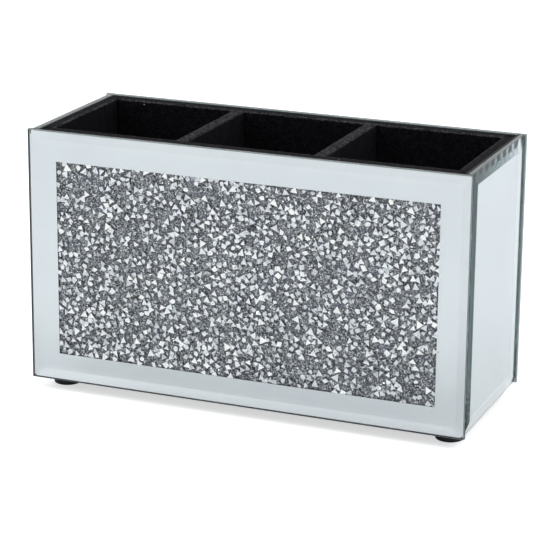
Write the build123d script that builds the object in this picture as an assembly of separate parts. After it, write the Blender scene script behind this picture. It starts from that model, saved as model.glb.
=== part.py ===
from build123d import *
import math
import os

# Makeup brush holder: a felt-lined wooden box with three open compartments, clad in bevelled mirror glass.
# Millimetres. X runs along the front, Y to the back, Z up. The origin is on the floor, under the middle.

# Outside of the glass box
LENGTH = 220.0
DEPTH = 90.0
PANEL_HEIGHT = 124.0

# Bevelled glass sheets, and the silver with its paint and glue on their backs
GLASS_THICKNESS = 4.0
BEVEL_WIDTH = 6.0
BEVEL_DEPTH = 1.4
SILVER_THICKNESS = 0.3

# Silvered frame left around the clear window in the front sheet
FRAME_SIDE_WIDTH = 14.5
FRAME_TOP_WIDTH = 14.8
FRAME_BOTTOM_WIDTH = 13.5

# Crushed crystals in the front board's pocket: they run in under the silvered frame on every side.
# Tips and valleys are heights above the pocket's floor, wander and lean are shares of the pitch.
CRYSTAL_DEPTH = 2.5
CRYSTAL_LAP = 3.0
CRYSTAL_PITCH = 4.2
CRYSTAL_EDGE_HEIGHT = 1.1
CRYSTAL_LOWEST_TIP = 1.9
CRYSTAL_LOWEST_VALLEY = 0.5
CRYSTAL_HIGHEST_VALLEY = 1.5
CRYSTAL_WANDER = 0.42
CRYSTAL_LEAN = 0.5

# Wooden box: rebates seat the ends and the base, grooves seat the dividers
WALL_THICKNESS = 6.0
END_THICKNESS = 4.5
BASE_THICKNESS = 6.0
DIVIDER_THICKNESS = 4.5
REBATE_DEPTH = 2.0
GROOVE_DEPTH = 1.5

# Felt lining, folded over the rims and the dividers
FELT_THICKNESS = 0.9
RIM_DROP = 0.4
RIM_ROUND = 0.8

# Sheet under the base
COVER_THICKNESS = 0.5
COVER_MARGIN = 1.0

# Rubber feet, set in from the outer faces
FOOT_HEIGHT = 5.7
FOOT_DIAMETER = 13.8
FOOT_TREAD_DIAMETER = 13.4
FOOT_EASING = 0.4
FOOT_INSET_X = 11.4
BACK_FOOT_INSET_X = 15.0
FOOT_INSET_Y = 16.7

# Levels
panel_top = FOOT_HEIGHT + PANEL_HEIGHT
panel_middle = FOOT_HEIGHT + PANEL_HEIGHT / 2
board_bottom = FOOT_HEIGHT + COVER_THICKNESS
base_top = board_bottom + BASE_THICKNESS
rim_top = panel_top - RIM_DROP
board_top = rim_top - FELT_THICKNESS

# Half sizes in plan, from the outside in: glass backs, wooden box, its inner faces, felt faces
glass_back_x = LENGTH / 2 - GLASS_THICKNESS
glass_back_y = DEPTH / 2 - GLASS_THICKNESS
box_x = glass_back_x - SILVER_THICKNESS
box_y = glass_back_y - SILVER_THICKNESS
inner_x = box_x - END_THICKNESS
inner_y = box_y - WALL_THICKNESS
felt_x = inner_x - FELT_THICKNESS
felt_y = inner_y - FELT_THICKNESS

# Three equal compartments between the felted dividers
felted_divider = DIVIDER_THICKNESS + 2 * FELT_THICKNESS
compartment = (2 * felt_x - 2 * felted_divider) / 3
divider_x = (compartment + felted_divider) / 2

# Window and crystal bed
window_length = LENGTH - 2 * FRAME_SIDE_WIDTH
window_height = PANEL_HEIGHT - FRAME_TOP_WIDTH - FRAME_BOTTOM_WIDTH
window_place = Pos(0, 0, (FRAME_BOTTOM_WIDTH - FRAME_TOP_WIDTH) / 2)
bed_length = window_length + 2 * CRYSTAL_LAP
bed_height = window_height + 2 * CRYSTAL_LAP


def block(half_x, half_y, low, high):
    """Upright block centred on the Z axis, from its half sizes in plan and its two levels."""
    return Pos(0, 0, (low + high) / 2) * Box(2 * half_x, 2 * half_y, high - low)


def bevelled_sheet(width):
    """Glass on edge with its silvered back on the XZ plane and its bevelled face towards -Y."""
    sheet = extrude(Plane.XZ * Rectangle(width, PANEL_HEIGHT), GLASS_THICKNESS)
    show_face = sheet.faces().sort_by(Axis.Y)[0]
    return chamfer(show_face.edges(), BEVEL_WIDTH, BEVEL_DEPTH, reference=show_face)


def silver_coat(width):
    """Silver and paint on the back of a sheet, lying from the XZ plane towards +Y."""
    return extrude(Plane.XZ * Rectangle(width, PANEL_HEIGHT), -SILVER_THICKNESS)


def around(piece, turn, distance):
    """A panel made for the front, moved out to its distance and turned to another side of the box."""
    return Rot(0, 0, turn) * Pos(0, -distance, panel_middle) * piece


def scatter(column, row, salt):
    """Irregular but repeatable number from 0 to 1 for a place in the crystal grid."""
    wave = math.sin(12.9898 * column + 78.233 * row + 37.719 * salt) * 43758.5453
    return wave - math.floor(wave)


def crystal_solid():
    """Crushed crystals on a flat back in the XZ plane: one pointed chip per cell of an uneven grid."""
    columns = max(2, round(bed_length / CRYSTAL_PITCH))
    rows = max(2, round(bed_height / CRYSTAL_PITCH))
    step_x = bed_length / columns
    step_z = bed_height / rows

    def knot(column, row):
        """Grid corner between chips: it wanders inside the bed and stays level along the bed's edge."""
        x = column * step_x - bed_length / 2
        z = row * step_z - bed_height / 2
        rise = CRYSTAL_EDGE_HEIGHT
        if 0 < column < columns:
            x += (scatter(column, row, 1) - 0.5) * CRYSTAL_WANDER * step_x
        if 0 < row < rows:
            z += (scatter(column, row, 2) - 0.5) * CRYSTAL_WANDER * step_z
        if 0 < column < columns and 0 < row < rows:
            spread = CRYSTAL_HIGHEST_VALLEY - CRYSTAL_LOWEST_VALLEY
            rise = CRYSTAL_LOWEST_VALLEY + spread * scatter(column, row, 3)
        return Vector(x, -rise, z)

    def tip(column, row, corners):
        """Chip's point, off the middle of its cell and close to the glass."""
        middle = (corners[0] + corners[1] + corners[2] + corners[3]) / 4
        x = middle.X + (scatter(column, row, 4) - 0.5) * CRYSTAL_LEAN * step_x
        z = middle.Z + (scatter(column, row, 5) - 0.5) * CRYSTAL_LEAN * step_z
        rise = CRYSTAL_DEPTH - (CRYSTAL_DEPTH - CRYSTAL_LOWEST_TIP) * scatter(column, row, 6)
        return Vector(x, -rise, z)

    knots = [[knot(column, row) for row in range(rows + 1)] for column in range(columns + 1)]
    facets = []
    for column in range(columns):
        for row in range(rows):
            corners = [
                knots[column][row],
                knots[column + 1][row],
                knots[column + 1][row + 1],
                knots[column][row + 1],
            ]
            top = tip(column, row, corners)
            for turn in range(4):
                facets.append([corners[turn], corners[(turn + 1) % 4], top])

    bed_corners = [knots[0][0], knots[-1][0], knots[-1][-1], knots[0][-1]]
    back = [Vector(corner.X, 0, corner.Z) for corner in bed_corners]
    low_edge = [line[0] for line in knots]
    high_edge = [line[-1] for line in knots]
    facets.append(back)
    facets.append([back[0]] + low_edge + [back[1]])
    facets.append([back[3]] + high_edge + [back[2]])
    facets.append([back[0]] + knots[0] + [back[3]])
    facets.append([back[1]] + knots[-1] + [back[2]])
    return Solid(Shell([Face(Wire.make_polygon(facet)) for facet in facets]))


nodes = {}

# Glass: the front and back sheets run the full length and the end sheets stand between them
long_sheet = bevelled_sheet(LENGTH)
end_sheet = bevelled_sheet(2 * glass_back_y)
nodes["front_glass"] = around(long_sheet, 0, glass_back_y)
nodes["back_glass"] = around(long_sheet, 180, glass_back_y)
nodes["left_glass"] = around(end_sheet, -90, glass_back_x)
nodes["right_glass"] = around(end_sheet, 90, glass_back_x)

# Silver: the front coat is cut away to a frame around the window
long_coat = silver_coat(2 * glass_back_x)
end_coat = silver_coat(2 * box_y)
window = extrude(Plane.XZ * Rectangle(window_length, window_height), SILVER_THICKNESS, both=True)
nodes["front_silver"] = around(long_coat - window_place * window, 0, glass_back_y)
nodes["back_silver"] = around(long_coat, 180, glass_back_y)
nodes["left_silver"] = around(end_coat, -90, glass_back_x)
nodes["right_silver"] = around(end_coat, 90, glass_back_x)

# Crystal bed at the bottom of the front board's pocket
pocket = window_place * extrude(Plane.XZ * Rectangle(bed_length, bed_height), CRYSTAL_DEPTH)
nodes["crystal_bed"] = around(window_place * crystal_solid(), 0, box_y - CRYSTAL_DEPTH)

# Dividers: tongues on three sides go into the grooves of the walls and the base
divider_height = board_top - base_top + GROOVE_DEPTH
divider_profile = Rectangle(2 * (inner_y + GROOVE_DEPTH), divider_height)
divider = extrude(Plane.YZ * divider_profile, DIVIDER_THICKNESS / 2, both=True)
divider_level = board_top - divider_height / 2
nodes["left_divider"] = Pos(-divider_x, 0, divider_level) * divider
nodes["right_divider"] = Pos(divider_x, 0, divider_level) * divider
dividers = nodes["left_divider"] + nodes["right_divider"]

# Base, seated in the walls' rebates and grooved for the dividers
base = block(inner_x + REBATE_DEPTH, inner_y + REBATE_DEPTH, board_bottom, base_top)
nodes["base_board"] = base - dividers

# Ends, seated in the rebates of the front and back boards
ends = block(box_x, inner_y + REBATE_DEPTH, board_bottom, board_top)
ends -= block(inner_x, inner_y + REBATE_DEPTH, board_bottom, board_top)
ends -= base
nodes["left_board"] = ends.solids().sort_by(Axis.X)[0]
nodes["right_board"] = ends.solids().sort_by(Axis.X)[-1]

# Front and back boards, with the pocket milled into the front one
walls = block(box_x, box_y, board_bottom, board_top) - block(box_x, inner_y, board_bottom, board_top)
walls = walls - ends - base - dividers
nodes["front_board"] = walls.solids().sort_by(Axis.Y)[0] - around(pocket, 0, box_y - CRYSTAL_DEPTH)
nodes["back_board"] = walls.solids().sort_by(Axis.Y)[-1]

# Wall felt: one lining with a rounded rim, cut into four lengths that meet on mitres at the corners
lining = block(inner_x, inner_y, base_top, board_top) + block(box_x, box_y, board_top, rim_top)
lining -= block(felt_x, felt_y, base_top, rim_top)
rim_edges = lining.edges().filter_by_position(Axis.Z, rim_top, rim_top)
rim_edges = rim_edges.filter_by_position(Axis.X, -felt_x, felt_x)
rim_edges = rim_edges.filter_by_position(Axis.Y, -felt_y, felt_y)
lining = fillet(rim_edges, RIM_ROUND)
mitre_reach = max(box_x - felt_x, box_y - felt_y)
mitre_plan = make_face(Polyline(
    (felt_x, -felt_y),
    (felt_x + mitre_reach, -felt_y - mitre_reach),
    (felt_x + mitre_reach, felt_y + mitre_reach),
    (felt_x, felt_y),
    close=True,
))
right_mitre = Pos(0, 0, base_top) * extrude(mitre_plan, rim_top - base_top)
left_mitre = Rot(0, 0, 180) * right_mitre
long_felts = lining - right_mitre - left_mitre - dividers
nodes["front_felt"] = long_felts.solids().sort_by(Axis.Y)[0]
nodes["back_felt"] = long_felts.solids().sort_by(Axis.Y)[-1]
nodes["left_felt"] = lining & left_mitre
nodes["right_felt"] = lining & right_mitre

# Divider felt: folded over the top with the same rounding as the rims
fold_height = rim_top - base_top
fold_profile = Rectangle(felted_divider, fold_height)
fold_top = fold_profile.vertices().group_by(Axis.Y)[-1]
fold_profile = fillet(fold_top, RIM_ROUND)
fold = extrude(Plane.XZ * fold_profile, felt_y, both=True)
fold_level = (base_top + rim_top) / 2
nodes["left_divider_felt"] = Pos(-divider_x, 0, fold_level) * fold - dividers
nodes["right_divider_felt"] = Pos(divider_x, 0, fold_level) * fold - dividers

# Floor felt in each compartment
floor_felt = block(compartment / 2, felt_y, base_top, base_top + FELT_THICKNESS)
compartment_step = compartment + felted_divider
nodes["left_floor_felt"] = Pos(-compartment_step, 0, 0) * floor_felt
nodes["middle_floor_felt"] = floor_felt
nodes["right_floor_felt"] = Pos(compartment_step, 0, 0) * floor_felt

# Sheet glued under the base and the walls
nodes["base_cover"] = block(box_x - COVER_MARGIN, box_y - COVER_MARGIN, FOOT_HEIGHT, board_bottom)

# Feet: tapered rubber buttons with an eased tread, the back pair further in from the ends
foot_profile = make_face(Polyline(
    (0, 0), (FOOT_TREAD_DIAMETER / 2, 0), (FOOT_DIAMETER / 2, FOOT_HEIGHT), (0, FOOT_HEIGHT), close=True,
))
tread_corner = foot_profile.vertices().sort_by(Axis.Y)[:2].sort_by(Axis.X)[-1]
foot_profile = chamfer(tread_corner, FOOT_EASING)
foot = revolve(Plane.XZ * foot_profile, Axis.Z)
foot_x = LENGTH / 2 - FOOT_INSET_X
back_foot_x = LENGTH / 2 - BACK_FOOT_INSET_X
foot_y = DEPTH / 2 - FOOT_INSET_Y
nodes["front_left_foot"] = Pos(-foot_x, -foot_y, 0) * foot
nodes["front_right_foot"] = Pos(foot_x, -foot_y, 0) * foot
nodes["back_left_foot"] = Pos(-back_foot_x, foot_y, 0) * foot
nodes["back_right_foot"] = Pos(back_foot_x, foot_y, 0) * foot

os.makedirs("parts", exist_ok=True)
for name, piece in nodes.items():
    export_step(piece, f"parts/{name}.step")
    print(f"{name}: {piece.volume:.1f} mm3")
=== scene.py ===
"""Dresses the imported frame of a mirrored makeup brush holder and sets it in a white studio."""

import logging
import math
from dataclasses import asdict, dataclass, fields, replace
from enum import Enum
from typing import Any, Collection, Optional, Sequence

import bmesh
import bpy
from bmesh.types import BMesh, BMVert
from bpy.types import Material, Mesh, Node, NodeOutputs, NodeSocket, NodeTree, Object
from mathutils import Matrix, Vector, noise


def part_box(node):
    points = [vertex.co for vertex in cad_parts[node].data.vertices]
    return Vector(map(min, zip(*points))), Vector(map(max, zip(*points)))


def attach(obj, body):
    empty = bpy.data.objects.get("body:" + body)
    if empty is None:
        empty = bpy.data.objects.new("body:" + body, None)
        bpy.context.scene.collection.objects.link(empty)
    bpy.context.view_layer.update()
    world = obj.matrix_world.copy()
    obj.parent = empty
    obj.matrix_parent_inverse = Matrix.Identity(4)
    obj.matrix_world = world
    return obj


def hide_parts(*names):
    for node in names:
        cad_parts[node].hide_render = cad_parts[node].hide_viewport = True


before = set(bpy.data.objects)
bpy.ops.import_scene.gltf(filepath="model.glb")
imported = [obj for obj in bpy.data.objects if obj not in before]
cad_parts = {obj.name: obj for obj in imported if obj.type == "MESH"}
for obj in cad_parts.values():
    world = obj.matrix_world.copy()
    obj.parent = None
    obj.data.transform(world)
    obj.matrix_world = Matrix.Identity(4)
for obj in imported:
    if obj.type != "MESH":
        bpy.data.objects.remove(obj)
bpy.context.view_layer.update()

LOG = logging.getLogger("brush_holder")

MM = 0.001
BODY = "root"
WHITE = "#FFFFFF"
GLASS_IOR = 1.52
WINDOW_LAP = 3.0 * MM  # How far the crystals reach under the silver round the window.
EDGE_SEAL = 0.8 * MM  # How far the sealer runs onto a sealed sheet's edge.
ROUND_FLATS = 5  # The flats in a quarter turn of a rounded edge.
FINE_FLATS = 3  # The flats in a quarter turn of a smaller one.
HAIR = 0.01 * MM  # What is nearer than this counts as touching.
WELD = 0.001 * MM  # Points nearer than this are one point.

Colour = tuple[float, float, float, float]
Point = tuple[float, float, float]
Tones = tuple[tuple[float, str], ...]


def linear(hex_colour: str) -> Colour:
    """Turns an sRGB hex colour into linear light.

    Args:
        hex_colour: Six hex digits after a leading #.

    Returns:
        Red, green and blue in linear light, and an alpha of 1.
    """
    digits = hex_colour.lstrip("#")
    parts = [int(digits[i:i + 2], 16) / 255 for i in (0, 2, 4)]
    light = [p / 12.92 if p <= 0.04045 else ((p + 0.055) / 1.055) ** 2.4 for p in parts]
    return light[0], light[1], light[2], 1.0


def add_node(
    tree: NodeTree,
    kind: str,
    inputs: Optional[dict[Any, Any]] = None,
    stops: Tones = (),
    **settings: Any,
) -> Node:
    """Adds one node, sets its properties, and fills or links its inputs.

    Args:
        tree: The shader or geometry tree that gets the node.
        kind: The node's type name.
        inputs: Input name or number to a value, an output that feeds it, or a node for its first output.
        stops: Places and sRGB hex colours, for a colour ramp.
        **settings: Properties of the node itself.

    Returns:
        The new node.
    """
    node = tree.nodes.new(kind)
    for name, value in settings.items():
        setattr(node, name, value)
    for key, value in (inputs or {}).items():
        for source in value if isinstance(value, list) else [value]:
            if isinstance(source, Node):
                source = source.outputs[0]
            if isinstance(source, NodeSocket):
                tree.links.new(source, node.inputs[key])
            else:
                node.inputs[key].default_value = source
    if stops:
        elements = node.color_ramp.elements
        while len(elements) < len(stops):
            elements.new(0.5)
        for element, (place, colour) in zip(elements, stops):
            element.position = place
            element.color = linear(colour)
    return node


def per_mm(size: float) -> float:
    """Returns the texture scale whose features are about size millimetres across."""
    return 1.0 / (size * MM)


class Finish:
    """A surface finish, made into one material that its pieces share."""

    label: str

    def lay_nodes(self, tree: NodeTree) -> None:
        """Lays the finish's nodes in an empty tree."""
        raise NotImplementedError

    def material(self) -> Material:
        """Makes the finish's material, or finds it again.

        Returns:
            The material named for the finish.
        """
        made = bpy.data.materials.get(self.label)
        if made is None:
            made = bpy.data.materials.new(self.label)
            made.use_nodes = True
            made.node_tree.nodes.clear()
            self.lay_nodes(made.node_tree)
        return made


@dataclass(frozen=True)
class MottledFinish(Finish):
    """A finish whose colour drifts between tones, as most made surfaces do.

    Attributes:
        label: The material's name.
        tones: The levels of the mottle, from 0 to 1, at which each sRGB tone is reached.
        grain_mm: How large the mottle is, in millimetres.
        detail: How many finer layers it has.
        roughness: The surface's roughness.
        grit: How strong the finer layers are.
        metallic: 1 for a metal.
        through: The share of light that passes the surface.
        gleam: How strongly it mirrors, where 0.5 is plain for its IOR.
        bump: How strongly the mottle stands out, if it does.
        bump_depth: How far it stands out.
    """

    label: str
    tones: Tones
    grain_mm: float
    detail: float
    roughness: float
    grit: float = 0.5
    metallic: float = 0.0
    through: float = 0.0
    gleam: float = 0.5
    bump: float = 0.0
    bump_depth: float = 0.0

    def lay_nodes(self, tree: NodeTree) -> None:
        """Lays the tones, and a bump where the mottle can be felt.

        Args:
            tree: The material's tree.
        """
        place = add_node(tree, "ShaderNodeTexCoord").outputs["Object"]
        mottle = add_node(tree, "ShaderNodeTexNoise", {
            "Vector": place, "Scale": per_mm(self.grain_mm), "Detail": self.detail, "Roughness": self.grit,
        })
        inputs = {
            "Base Color": add_node(tree, "ShaderNodeValToRGB", {"Fac": mottle}, stops=self.tones),
            "Roughness": self.roughness, "Metallic": self.metallic, "Transmission Weight": self.through,
            "Specular IOR Level": self.gleam,
        }
        if self.bump:
            inputs["Normal"] = add_node(tree, "ShaderNodeBump", {
                "Height": mottle, "Strength": self.bump, "Distance": self.bump_depth,
            })
        surface = add_node(tree, "ShaderNodeBsdfPrincipled", inputs)
        add_node(tree, "ShaderNodeOutputMaterial", {"Surface": surface})


# Silver laid on the back of the glass: a cool, almost even mirror with a faint cloudiness.
MIRROR_SILVER = MottledFinish(
    "mirror_silver", ((0.35, "#EAEDED"), (0.7, "#E7EAEB")), grain_mm=28.0, detail=3.0, roughness=0.0,
    metallic=1.0,
)
# The narrow ground flat along a glass edge: frosted, so it draws a pale line where light falls on it.
GROUND_ARRIS = MottledFinish(
    "ground_glass_arris", ((0.3, "#5F6B69"), (0.7, "#9BA7A5")), grain_mm=0.5, detail=4.0, roughness=0.6,
    through=0.3,
)
# A sheet's ground end: the same frosted flat, broad enough to show pale.
GROUND_END = replace(GROUND_ARRIS, label="ground_glass_end", tones=((0.3, "#A9B5B3"), (0.7, "#DCE4E3")))
# The grey paint that guards the silver: flat and a little mottled from the roller.
BACK_PAINT = MottledFinish(
    "mirror_back_paint", ((0.3, "#3C4042"), (0.7, "#4D5254")), grain_mm=2.5, detail=2.0, roughness=0.7,
)
# The black lacquer brushed round a mirror's back edge against damp: dead flat, and a little streaky.
EDGE_SEALER = MottledFinish(
    "mirror_edge_sealer", ((0.35, "#0C0C0D"), (0.65, "#222325")), grain_mm=1.5, detail=3.0, roughness=0.9,
    gleam=0.1,
)
# Sawn medium-density fibreboard: pale brown, matt and flecked with short fibres.
FIBREBOARD = MottledFinish(
    "sawn_fibreboard", ((0.32, "#8A6C4C"), (0.66, "#B4946C")), grain_mm=1.2, detail=5.0, roughness=0.85,
    grit=0.65, bump=0.3, bump_depth=0.1 * MM,
)
# Moulded black rubber: soft-edged, with the faint pebble of a spark-eroded mould.
MOULDED_RUBBER = MottledFinish(
    "moulded_rubber", ((0.3, "#0B0B0C"), (0.7, "#19191B")), grain_mm=0.6, detail=2.0, roughness=0.5,
    bump=0.25, bump_depth=0.08 * MM,
)


@dataclass(frozen=True)
class FloatGlass(Finish):
    """Clear float glass with a polished bevel: bends what lies behind it and is green down its length."""

    label: str = "float_glass"
    tint: str = "#B9D8D5"
    absorption: float = 14.0

    def lay_nodes(self, tree: NodeTree) -> None:
        """Lays clear glass filled with a faint green absorption.

        Args:
            tree: The material's tree.
        """
        glass = add_node(tree, "ShaderNodeBsdfPrincipled", {
            "Base Color": linear(WHITE), "Roughness": 0.0, "IOR": GLASS_IOR, "Transmission Weight": 1.0,
        })
        inside = add_node(tree, "ShaderNodeVolumeAbsorption", {
            "Color": linear(self.tint), "Density": self.absorption,
        })
        add_node(tree, "ShaderNodeOutputMaterial", {"Surface": glass, "Volume": inside})


@dataclass(frozen=True)
class BondingResin(Finish):
    """Clear resin that wets the window's back and the crystals: without a gleam, so the gaps stay deep."""

    label: str = "clear_bonding_resin"
    ior: float = 1.0

    def lay_nodes(self, tree: NodeTree) -> None:
        """Lays a clear boundary that neither bends nor mirrors light that is in the glass already.

        Args:
            tree: The material's tree.
        """
        resin = add_node(tree, "ShaderNodeBsdfPrincipled", {
            "Base Color": linear(WHITE), "Roughness": 0.0, "IOR": self.ior, "Transmission Weight": 1.0,
        })
        add_node(tree, "ShaderNodeOutputMaterial", {"Surface": resin})


@dataclass(frozen=True)
class PolishedEdge(Finish):
    """The glass's flat-polished edge: a dark clear look into the sheet under a bright, faintly wavy gleam."""

    label: str = "polished_glass_edge"
    body: str = "#C6DAD8"
    wave_mm: float = 6.0
    wave_depth: float = 0.03 * MM
    wave_strength: float = 0.03
    roughness: float = 0.03

    def lay_nodes(self, tree: NodeTree) -> None:
        """Lays clear glass with the shallow waves of a polishing wheel.

        Args:
            tree: The material's tree.
        """
        place = add_node(tree, "ShaderNodeTexCoord").outputs["Object"]
        waves = add_node(tree, "ShaderNodeTexNoise", {
            "Vector": place, "Scale": per_mm(self.wave_mm), "Detail": 2.0,
        })
        bump = add_node(tree, "ShaderNodeBump", {
            "Height": waves, "Strength": self.wave_strength, "Distance": self.wave_depth,
        })
        edge = add_node(tree, "ShaderNodeBsdfPrincipled", {
            "Base Color": linear(self.body), "Roughness": self.roughness, "IOR": GLASS_IOR,
            "Transmission Weight": 1.0, "Normal": bump,
        })
        add_node(tree, "ShaderNodeOutputMaterial", {"Surface": edge})


@dataclass(frozen=True)
class CrystalFinish(Finish):
    """A crystal's side, whose level follows each facet's own tone and the small breaks in it.

    Attributes:
        label: The material's name.
        tones: The levels, from 0 to 1, at which each sRGB tone is reached.
        break_mm: How large the breaks are, in millimetres.
        break_depth: How far they shift the level.
        roughness: The facets' roughness.
        tone_attribute: The mesh attribute that holds each facet's tone.
    """

    label: str
    tones: Tones
    break_mm: float
    break_depth: float
    roughness: float
    tone_attribute: str = "facet_tone"

    def lay_level(self, tree: NodeTree) -> tuple[Node, Node]:
        """Lays the facets' tones, shifted at random in each break.

        Args:
            tree: The material's tree.

        Returns:
            The level, and the node with each break's random numbers.
        """
        place = add_node(tree, "ShaderNodeTexCoord").outputs["Object"]
        tone = add_node(tree, "ShaderNodeAttribute", attribute_name=self.tone_attribute).outputs["Fac"]
        # The real splinters are finer than a picture element, so the breaks are drawn a little coarser.
        breaks = add_node(tree, "ShaderNodeTexVoronoi", {"Vector": place, "Scale": per_mm(self.break_mm)})
        draws = add_node(tree, "ShaderNodeSeparateColor", {0: breaks.outputs["Color"]})
        shift = add_node(tree, "ShaderNodeMapRange", {
            "Value": draws, "To Min": -self.break_depth, "To Max": self.break_depth,
        })
        return add_node(tree, "ShaderNodeMath", {0: tone, 1: shift}, operation="ADD"), draws


@dataclass(frozen=True)
class CrushedCrystal(CrystalFinish):
    """Crushed crystal seen on its broken sides: sugary smoky greys, violet in patches, with a wet gloss."""

    label: str = "smoky_crystal"
    tones: Tones = (
        (0.0, "#0F1113"), (0.2, "#787E85"), (0.45, "#C8CDD3"), (0.75, "#F6F8FA"), (1.0, WHITE),
    )
    break_mm: float = 0.7
    break_depth: float = 0.5
    roughness: float = 0.16
    ior: float = 1.54
    glint_share: float = 0.14
    violet: str = "#8A899F"
    violet_patch_mm: float = 7.0
    violet_levels: tuple[float, float] = (0.45, 0.65)
    violet_strength: tuple[float, float] = (0.05, 0.65)
    dull_levels: tuple[float, float] = (0.75, 0.3)

    def lay_nodes(self, tree: NodeTree) -> None:
        """Lays a glossy colour taken from each facet's own tone and broken into sugary specks.

        Args:
            tree: The material's tree.
        """
        broken, draws = self.lay_level(tree)
        glint = add_node(tree, "ShaderNodeMath", {
            0: draws.outputs[1], 1: 1 - self.glint_share,
        }, operation="GREATER_THAN")
        level = add_node(tree, "ShaderNodeMath", {0: broken, 1: glint}, operation="ADD", use_clamp=True)
        colour = add_node(tree, "ShaderNodeValToRGB", {"Fac": level}, stops=self.tones)
        patch = add_node(tree, "ShaderNodeTexNoise", {
            "Vector": add_node(tree, "ShaderNodeTexCoord").outputs["Object"],
            "Scale": per_mm(self.violet_patch_mm), "Detail": 1.0,
        })
        strength = add_node(tree, "ShaderNodeMapRange", {
            "Value": patch, "From Min": self.violet_levels[0], "From Max": self.violet_levels[1],
            "To Min": self.violet_strength[0], "To Max": self.violet_strength[1],
        })
        dull = add_node(tree, "ShaderNodeMapRange", {
            "Value": level, "From Min": self.dull_levels[0], "From Max": self.dull_levels[1],
        })
        share = add_node(tree, "ShaderNodeMath", {0: strength, 1: dull}, operation="MULTIPLY")
        tinted = add_node(tree, "ShaderNodeMix", {
            0: share, 6: colour, 7: linear(self.violet),
        }, data_type="RGBA")
        crystal = add_node(tree, "ShaderNodeBsdfPrincipled", {
            "Base Color": tinted.outputs[2], "Roughness": self.roughness, "IOR": self.ior, "Metallic": glint,
        })
        add_node(tree, "ShaderNodeOutputMaterial", {"Surface": crystal})


@dataclass(frozen=True)
class SilveredFacet(CrystalFinish):
    """A chip's flat silvered face: flashes back the white of the studio, a little different on each."""

    label: str = "silvered_crystal_facet"
    tones: Tones = ((0.0, "#DADDE0"), (0.6, WHITE))
    break_mm: float = 0.9
    break_depth: float = 0.3
    roughness: float = 0.12

    def lay_nodes(self, tree: NodeTree) -> None:
        """Lays a bright metal whose level follows each facet's own tone and the small breaks in it.

        Args:
            tree: The material's tree.
        """
        level, _ = self.lay_level(tree)
        facet = add_node(tree, "ShaderNodeBsdfPrincipled", {
            "Base Color": add_node(tree, "ShaderNodeValToRGB", {"Fac": level}, stops=self.tones),
            "Metallic": 1.0, "Roughness": self.roughness,
        })
        add_node(tree, "ShaderNodeOutputMaterial", {"Surface": facet})


@dataclass(frozen=True)
class NeedleFelt(Finish):
    """Black needled felt: drinks the light, with a dusty nap, folds lightened by dust and painted sheen, and
    odd specks of lint.
    """

    label: str = "black_needle_felt"
    dust_and_light_attribute: str = "rubbed"
    flat_tones: Tones = ((0.4, "#010102"), (0.7, "#232327"))
    fold_tones: Tones = ((0.45, "#010102"), (0.64, "#8E8E92"))
    lint: str = "#A9AAAC"
    sheen_tint: str = "#9A9A9E"
    fibre_mm: float = 0.6
    tuft_mm: float = 3.0
    tuft_share: float = 0.2
    nap_depth: float = 0.35 * MM
    nap_strength: float = 0.7
    lint_cell_mm: float = 15.0
    lint_mm: float = 0.3
    roughness: float = 0.95

    def lay_nodes(self, tree: NodeTree) -> None:
        """Lays a black nap with speckle, tufts and a few specks of lint.

        Args:
            tree: The material's tree.
        """
        place = add_node(tree, "ShaderNodeTexCoord").outputs["Object"]
        # Felt fibres are far thinner than a picture element, so the nap is drawn as coarse speckle.
        fibre = add_node(tree, "ShaderNodeTexNoise", {
            "Vector": place, "Scale": per_mm(self.fibre_mm), "Detail": 3.0, "Roughness": 0.7,
        })
        tuft = add_node(tree, "ShaderNodeTexNoise", {
            "Vector": place, "Scale": per_mm(self.tuft_mm), "Detail": 2.0,
        })
        nap = add_node(tree, "ShaderNodeMix", {0: self.tuft_share, 2: fibre, 3: tuft}, data_type="FLOAT")
        flat, fold = (
            add_node(tree, "ShaderNodeValToRGB", {"Fac": nap}, stops=tones)
            for tones in (self.flat_tones, self.fold_tones)
        )
        # Where the mesh is marked, the pale fold tones are mixed in: dust in the nap, painted sheen on tops
        # and folds, and painted light on the shaded floors.
        rubbed = add_node(tree, "ShaderNodeAttribute", attribute_name=self.dust_and_light_attribute).outputs["Fac"]
        colour = add_node(tree, "ShaderNodeMix", {0: rubbed, 6: flat, 7: fold}, data_type="RGBA")
        specks = add_node(tree, "ShaderNodeTexVoronoi", {"Vector": place, "Scale": per_mm(self.lint_cell_mm)})
        is_lint = add_node(tree, "ShaderNodeMath", {
            0: specks.outputs["Distance"], 1: self.lint_mm / self.lint_cell_mm,
        }, operation="LESS_THAN")
        linted = add_node(tree, "ShaderNodeMix", {
            0: is_lint, 6: colour.outputs[2], 7: linear(self.lint),
        }, data_type="RGBA")
        bump = add_node(tree, "ShaderNodeBump", {
            "Height": nap, "Strength": self.nap_strength, "Distance": self.nap_depth,
        })
        felt = add_node(tree, "ShaderNodeBsdfPrincipled", {
            "Base Color": linted.outputs[2], "Roughness": self.roughness, "Specular IOR Level": 0.04,
            "Sheen Weight": 0.01, "Sheen Roughness": 0.4, "Sheen Tint": linear(self.sheen_tint),
            "Normal": bump,
        })
        add_node(tree, "ShaderNodeOutputMaterial", {"Surface": felt})


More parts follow.
